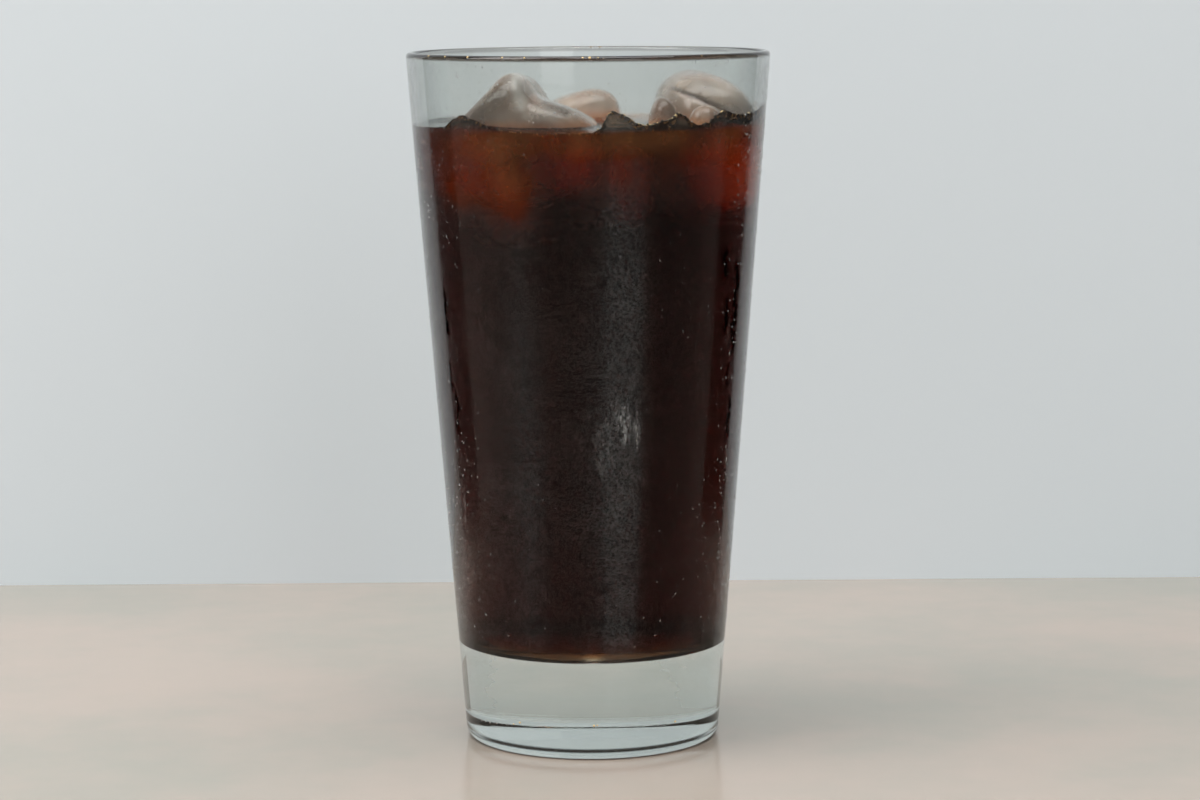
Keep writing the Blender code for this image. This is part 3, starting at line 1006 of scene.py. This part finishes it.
BEAD_SIDES = 8
BEAD_RINGS = ((1.0, 0.0), (0.86, 0.50), (0.50, 0.86))  # share of the radius, share of the height
BEAD_SUNK = 0.00002
RANDOM_BEADS = 3400
BEAD_HEIGHTS = (0.0265, 0.1572)
BEAD_SMALLEST = 0.00009
BEAD_SPREAD = 0.00016
BEAD_RARITY = 2.2  # the higher, the fewer large ones
BEAD_STRETCH = (0.9, 1.5)
BEAD_THICK = 0.55
BIG_BEAD_THICK = 0.40


def surface_frame(turn, height):
    """A point on the outer glass, and the directions out, round and up there."""
    lean = wall_angle(outer_radius)
    away = np.array((math.sin(turn), -math.cos(turn), 0.0))
    place = away * outer_radius(height) + np.array((0.0, 0.0, height))
    out = away * math.cos(lean) - np.array((0.0, 0.0, math.sin(lean)))
    around = np.array((math.cos(turn), math.sin(turn), 0.0))
    return place, out, around, np.cross(around, out)


def add_bead(points, faces, turn, height, wide, tall, thick):
    """A flattened drop: wide and tall are its half sizes, thick how far it stands out."""
    place, out, around, up = surface_frame(turn, height)
    first = len(points)
    points.append(place - out * BEAD_SUNK)
    for share, rise in BEAD_RINGS:
        for k in range(BEAD_SIDES):
            angle = 2 * math.pi * k / BEAD_SIDES
            flat = around * math.cos(angle) * wide + up * math.sin(angle) * tall
            points.append(place + flat * share + out * (rise * thick - (rise == 0.0) * BEAD_SUNK))
    points.append(place + out * thick)
    last = len(points) - 1
    for k in range(BEAD_SIDES):
        j = (k + 1) % BEAD_SIDES
        faces.append((first, first + 1 + j, first + 1 + k))
        for ring in range(len(BEAD_RINGS) - 1):
            low = first + 1 + ring * BEAD_SIDES
            faces.append((low + k, low + j, low + BEAD_SIDES + j, low + BEAD_SIDES + k))
        low = first + 1 + (len(BEAD_RINGS) - 1) * BEAD_SIDES
        faces.append((low + k, low + j, last))


def bead_density(degrees, height):
    """How thickly drops lie: most at the sides and in the wet patches, none on the foot."""
    level = height / MM
    side = math.exp(-((abs(degrees) - 72.0) / 14.0) ** 2)
    patch = math.exp(-((degrees - 9.0) / 8.0) ** 2 - ((level - 76.0) / 9.0) ** 2)
    high = math.exp(-((level - 132.0) / 10.0) ** 2) * (0.5 + 0.5 * (degrees > 0))
    return 0.16 + 0.55 * side + 0.9 * patch + 0.35 * high * side


def make_beads():
    rng = np.random.default_rng(11)
    points, faces = [], []
    count = 0
    while count < RANDOM_BEADS:
        degrees = rng.uniform(-180.0, 180.0)
        height = rng.uniform(*BEAD_HEIGHTS)
        if rng.random() > bead_density(degrees, height):
            continue
        size = BEAD_SMALLEST + BEAD_SPREAD * rng.random() ** BEAD_RARITY
        tall = size * rng.uniform(*BEAD_STRETCH)
        add_bead(points, faces, math.radians(degrees), height, size, tall, size * BEAD_THICK)
        count += 1
    for degrees, height, wide, tall in BIG_BEADS:
        turn = math.radians(degrees)
        thick = BIG_BEAD_THICK * wide * MM
        add_bead(points, faces, turn, height * MM, wide * MM, tall * MM, thick)
    look = Look("water_drops")
    look.set(
        Base_Color=look.mix_colour(look.noise(400.0), rgb(0.96, 0.97, 0.97), rgb(1, 1, 1)),
        Roughness=look.remap(look.noise(900.0), 0.3, 0.7, 0.0, 0.05),
        IOR=WATER_IOR,
        Transmission_Weight=1.0,
    )
    piece = add_piece("water_drops", mesh_from("water_drops", points, faces), look)
    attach(piece, "root")


# Bubbles along the waterline, and drops painted gold as glints


def add_ball(shape, place, radius):
    spot = Matrix.Translation(place)
    bmesh.ops.create_icosphere(shape, subdivisions=2, radius=radius, matrix=spot)


def make_bubbles():
    rng = np.random.default_rng(5)
    shape = bmesh.new()
    for degrees_low, degrees_high, count, smallest, largest in BUBBLE_ROWS:
        for _ in range(count):
            turn = math.radians(rng.uniform(degrees_low, degrees_high))
            size = rng.uniform(smallest, largest) * MM
            level = COFFEE_LEVEL + WALL_MENISCUS[0] + float(wall_film(turn))
            level -= rng.exponential(BUBBLE_DROP) * largest * MM
            radius = inner_radius(level) - size - BUBBLE_GAP
            place = (radius * math.sin(turn), -radius * math.cos(turn), level)
            add_ball(shape, place, size)
    mesh = bpy.data.meshes.new("waterline_bubbles")
    shape.to_mesh(mesh)
    shape.free()
    look = Look("coffee_bubbles")
    # Painted glints: sparse gold spots on the dark bubbles
    painted_glints = look.remap(look.noise(1400.0, detail=1.0), 0.52, 0.60)
    look.set(
        Base_Color=look.mix_colour(painted_glints, rgb(0.035, 0.020, 0.012), rgb(0.85, 0.60, 0.28)),
        Roughness=look.remap(look.noise(800.0), 0.3, 0.7, 0.05, 0.20),
        IOR=WATER_IOR,
        Transmission_Weight=0.25,
    )
    piece = add_piece("waterline_bubbles", mesh, look)
    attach(piece, "root")


LIP_DROP_IN = 0.00050  # the drops sit on the upper front of the round lip
LIP_DROP_DOWN = 0.00042


def make_glint_drops():
    """Drops on the lip and low on the foot, painted gold as glints of a warm light."""
    shape = bmesh.new()
    for degrees, size in LIP_GLINT_DROPS:
        turn = math.radians(degrees)
        reach = RIM_RADIUS - LIP_DROP_IN
        place = (reach * math.sin(turn), -reach * math.cos(turn), GLASS_HEIGHT - LIP_DROP_DOWN)
        add_ball(shape, place, size * MM)
    for degrees, height, size in FOOT_GLINT_DROPS:
        place = surface_frame(math.radians(degrees), height * MM)[0]
        add_ball(shape, place, size * MM)
    mesh = bpy.data.meshes.new("glint_drops")
    shape.to_mesh(mesh)
    shape.free()
    look = Look("painted_glint_drops")
    # Painted glints: a bright gold colour
    look.set(
        Base_Color=look.mix_colour(look.noise(900.0), rgb(1.0, 0.80, 0.45), rgb(0.95, 0.62, 0.25)),
        Roughness=look.remap(look.noise(900.0), 0.3, 0.7, 0.10, 0.25),
        IOR=WATER_IOR,
        Transmission_Weight=0.15,
    )
    piece = add_piece("glint_drops", mesh, look)
    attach(piece, "root")


# Stage


TABLE_BACK = 0.187  # behind the middle of the glass, where the wall meets the table
TABLE_TOP = -0.00005  # a hair of air under the foot
WALL_HEIGHT = 1.6
STAGE_HALF = 2.2
DARK_CARDS = ((92.0, 124.0), (-118.0, -92.0))  # degrees from the front that each card spans
CARD_REACH = 0.22
CARD_HEIGHT = 0.5
CARD_STEPS = 8


def table_look():
    look = Look("table_top")
    veins = look.noise(7.0, detail=5.0, roughness=0.6)
    tone = look.mix_colour(
        look.remap(veins, 0.3, 0.7), rgb(0.312, 0.298, 0.252), rgb(0.405, 0.332, 0.280)
    )
    look.set(Base_Color=tone, Roughness=look.remap(veins, 0.3, 0.7, 0.11, 0.18), IOR=1.5)
    return look


def wall_look():
    """A painted wall that is seen from its front only, so that it hides nothing from behind."""
    look = Look("painted_wall")
    cloudy = look.noise(3.0, detail=3.0)
    look.set(
        Base_Color=look.mix_colour(cloudy, rgb(0.715, 0.767, 0.80), rgb(0.75, 0.80, 0.835)),
        Roughness=0.9,
    )
    behind = look.add("ShaderNodeNewGeometry").outputs["Backfacing"]
    mix = look.add("ShaderNodeMixShader")
    clear = look.add("ShaderNodeBsdfTransparent")
    look.link(behind, mix.inputs[0])
    look.link(look.shader.outputs[0], mix.inputs[1])
    look.link(clear.outputs[0], mix.inputs[2])
    look.link(mix.outputs[0], look.output.inputs["Surface"])
    return look


def make_stage():
    half = STAGE_HALF
    table = mesh_from(
        "table",
        [
            (-half, -half, TABLE_TOP), (half, -half, TABLE_TOP),
            (half, half, TABLE_TOP), (-half, half, TABLE_TOP),
        ],
        [(0, 1, 2, 3)],
    )
    wall = mesh_from(
        "wall",
        [
            (-half, TABLE_BACK, TABLE_TOP), (half, TABLE_BACK, TABLE_TOP),
            (half, TABLE_BACK, WALL_HEIGHT), (-half, TABLE_BACK, WALL_HEIGHT),
        ],
        [(0, 1, 2, 3)],
    )
    add_piece("table", table, table_look())
    add_piece("wall", wall, wall_look())


def make_dark_cards():
    """Two black studio cards beside the glass, seen by its reflections alone."""
    look = Look("black_card")
    look.set(
        Base_Color=look.mix_colour(
            look.noise(20.0), rgb(0.004, 0.004, 0.004), rgb(0.008, 0.008, 0.008)
        ),
        Roughness=1.0,
        Specular_IOR_Level=0.0,
    )
    for number, (start, end) in enumerate(DARK_CARDS):
        turns = np.radians(np.linspace(start, end, CARD_STEPS + 1))
        low = [(CARD_REACH * math.sin(a), -CARD_REACH * math.cos(a), 0.0) for a in turns]
        high = [(x, y, CARD_HEIGHT) for x, y, _ in low]
        count = len(low)
        faces = [(i, i + 1, count + i + 1, count + i) for i in range(count - 1)]
        name = "dark_card_%d" % number
        card = add_piece(name, mesh_from(name, low + high, faces), look)
        card.visible_camera = False
        card.visible_diffuse = False
        card.visible_transmission = False
        card.visible_volume_scatter = False
        card.visible_shadow = False


def aim(thing, place, target):
    thing.location = place
    thing.rotation_euler = (Vector(target) - Vector(place)).to_track_quat("-Z", "Y").to_euler()


def soft_light(name, place, target, size, power, colour=(1.0, 1.0, 1.0)):
    data = bpy.data.lights.new(name, "AREA")
    data.shape = "RECTANGLE"
    data.size, data.size_y = size
    data.energy = power
    data.color = colour
    light = bpy.data.objects.new(name, data)
    bpy.context.scene.collection.objects.link(light)
    aim(light, place, target)
    return light


def make_lights():
    soft_light("front_right", (0.42, -1.05, 0.55), (0.0, 0.0, 0.06), (0.5, 0.8), 1.7)
    soft_light("left_high", (-0.9, -0.3, 1.2), (0.0, 0.1, 0.05), (0.9, 0.9), 14.5)
    soft_light("overhead", (0.1, -0.1, 1.4), (0.0, 0.05, 0.0), (1.2, 1.0), 17.0)
    soft_light("lamp", (0.12, -0.35, 1.5), (0.0, 0.0, 0.1), (0.05, 0.05), 1.2, (1.0, 0.80, 0.55))
    world = bpy.data.worlds.new("room")
    bpy.context.scene.world = world
    world.use_nodes = True
    background = world.node_tree.nodes["Background"]
    background.inputs["Color"].default_value = rgb(0.80, 0.84, 0.86)
    background.inputs["Strength"].default_value = 0.42


def make_camera():
    data = bpy.data.cameras.new("camera")
    data.sensor_fit = "HORIZONTAL"
    data.sensor_width = SENSOR_WIDTH
    data.lens = FOCAL_LENGTH_PX * SENSOR_WIDTH / IMAGE_WIDTH_PX
    data.clip_start = 0.01
    camera = bpy.data.objects.new("camera", data)
    bpy.context.scene.collection.objects.link(camera)
    ahead = Vector((
        math.sin(CAMERA_YAW) * math.cos(CAMERA_PITCH),
        math.cos(CAMERA_YAW) * math.cos(CAMERA_PITCH),
        -math.sin(CAMERA_PITCH),
    ))
    level = Vector((math.cos(CAMERA_YAW), -math.sin(CAMERA_YAW), 0.0))
    up = level.cross(ahead)
    right = level * math.cos(CAMERA_ROLL) + up * math.sin(CAMERA_ROLL)
    top = up * math.cos(CAMERA_ROLL) - level * math.sin(CAMERA_ROLL)
    turn = Matrix((right, top, -ahead)).transposed().to_4x4()
    camera.matrix_world = Matrix.Translation((0.0, -CAMERA_DISTANCE, CAMERA_HEIGHT)) @ turn
    bpy.context.scene.camera = camera


def main():
    scene = bpy.context.scene
    scene.view_settings.view_transform = "Standard"
    scene.cycles.max_bounces = 24
    scene.cycles.transmission_bounces = 24
    scene.cycles.transparent_max_bounces = 32
    make_camera()
    make_stage()
    make_dark_cards()
    make_lights()
    make_glass()
    make_coffee(make_ice(ice_looks()))
    make_beads()
    make_bubbles()
    make_glint_drops()


main()
